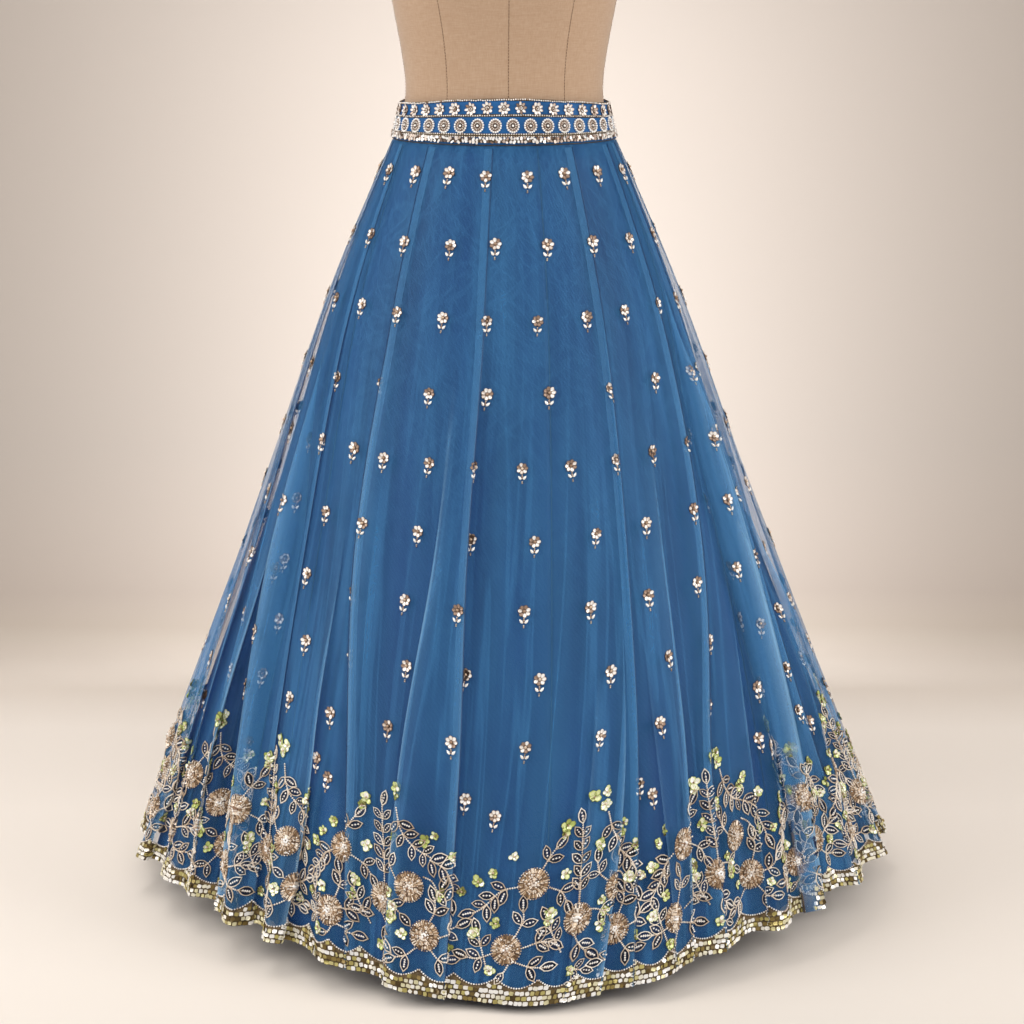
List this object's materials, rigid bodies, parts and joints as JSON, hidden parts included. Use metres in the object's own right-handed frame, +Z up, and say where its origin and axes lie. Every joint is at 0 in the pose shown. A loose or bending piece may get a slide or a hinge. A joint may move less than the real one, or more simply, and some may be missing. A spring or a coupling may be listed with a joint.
{
  "type": "lehenga skirt on dress form",
  "caption": "Floor-length panelled net skirt over a plain lining, with an embroidered waistband and a sequinned floral hem, worn by a limbless linen dress form on a pole and round base.",
  "frame": {"origin": "on the floor, under the middle of the part's box", "axes": "+Z up, -Y the way that the skirt's front faces, +X to the right of someone looking at the front"},
  "size_m": [0.9792, 0.939, 1.4803],
  "materials": {
    "net": "sheer soft net",
    "lining_cloth": "satin-faced plain weave",
    "waistband_cloth": "embroidered cloth",
    "sequin_border": "sequins and seed beads on cloth",
    "embroidery": "beads, cord and sequins",
    "linen": "close woven linen",
    "wood_cap": "satin varnish",
    "stand_metal": "satin enamel"
  },
  "bodies": {
    "root": {"waistband": "waistband_cloth", "net_panel_1": "net", "net_panel_2": "net", "net_panel_3": "net", "net_panel_4": "net", "net_panel_5": "net", "net_panel_6": "net", "net_panel_7": "net", "net_panel_8": "net", "net_panel_9": "net", "net_panel_10": "net", "net_panel_11": "net", "net_panel_12": "net", "lining_panel_1": "lining_cloth", "lining_panel_2": "lining_cloth", "lining_panel_3": "lining_cloth", "lining_panel_4": "lining_cloth", "lining_panel_5": "lining_cloth", "lining_panel_6": "lining_cloth", "lining_panel_7": "lining_cloth", "lining_panel_8": "lining_cloth", "hem_border_1": "sequin_border", "hem_border_2": "sequin_border", "hem_border_3": "sequin_border", "hem_border_4": "sequin_border", "hem_border_5": "sequin_border", "hem_border_6": "sequin_border", "hem_border_7": "sequin_border", "hem_border_8": "sequin_border", "hem_border_9": "sequin_border", "hem_border_10": "sequin_border", "hem_border_11": "sequin_border", "hem_border_12": "sequin_border", "form_torso": "linen", "form_neck_cap": "wood_cap", "stand_pole": "stand_metal", "stand_base": "stand_metal"}
  },
  "joints": []
}
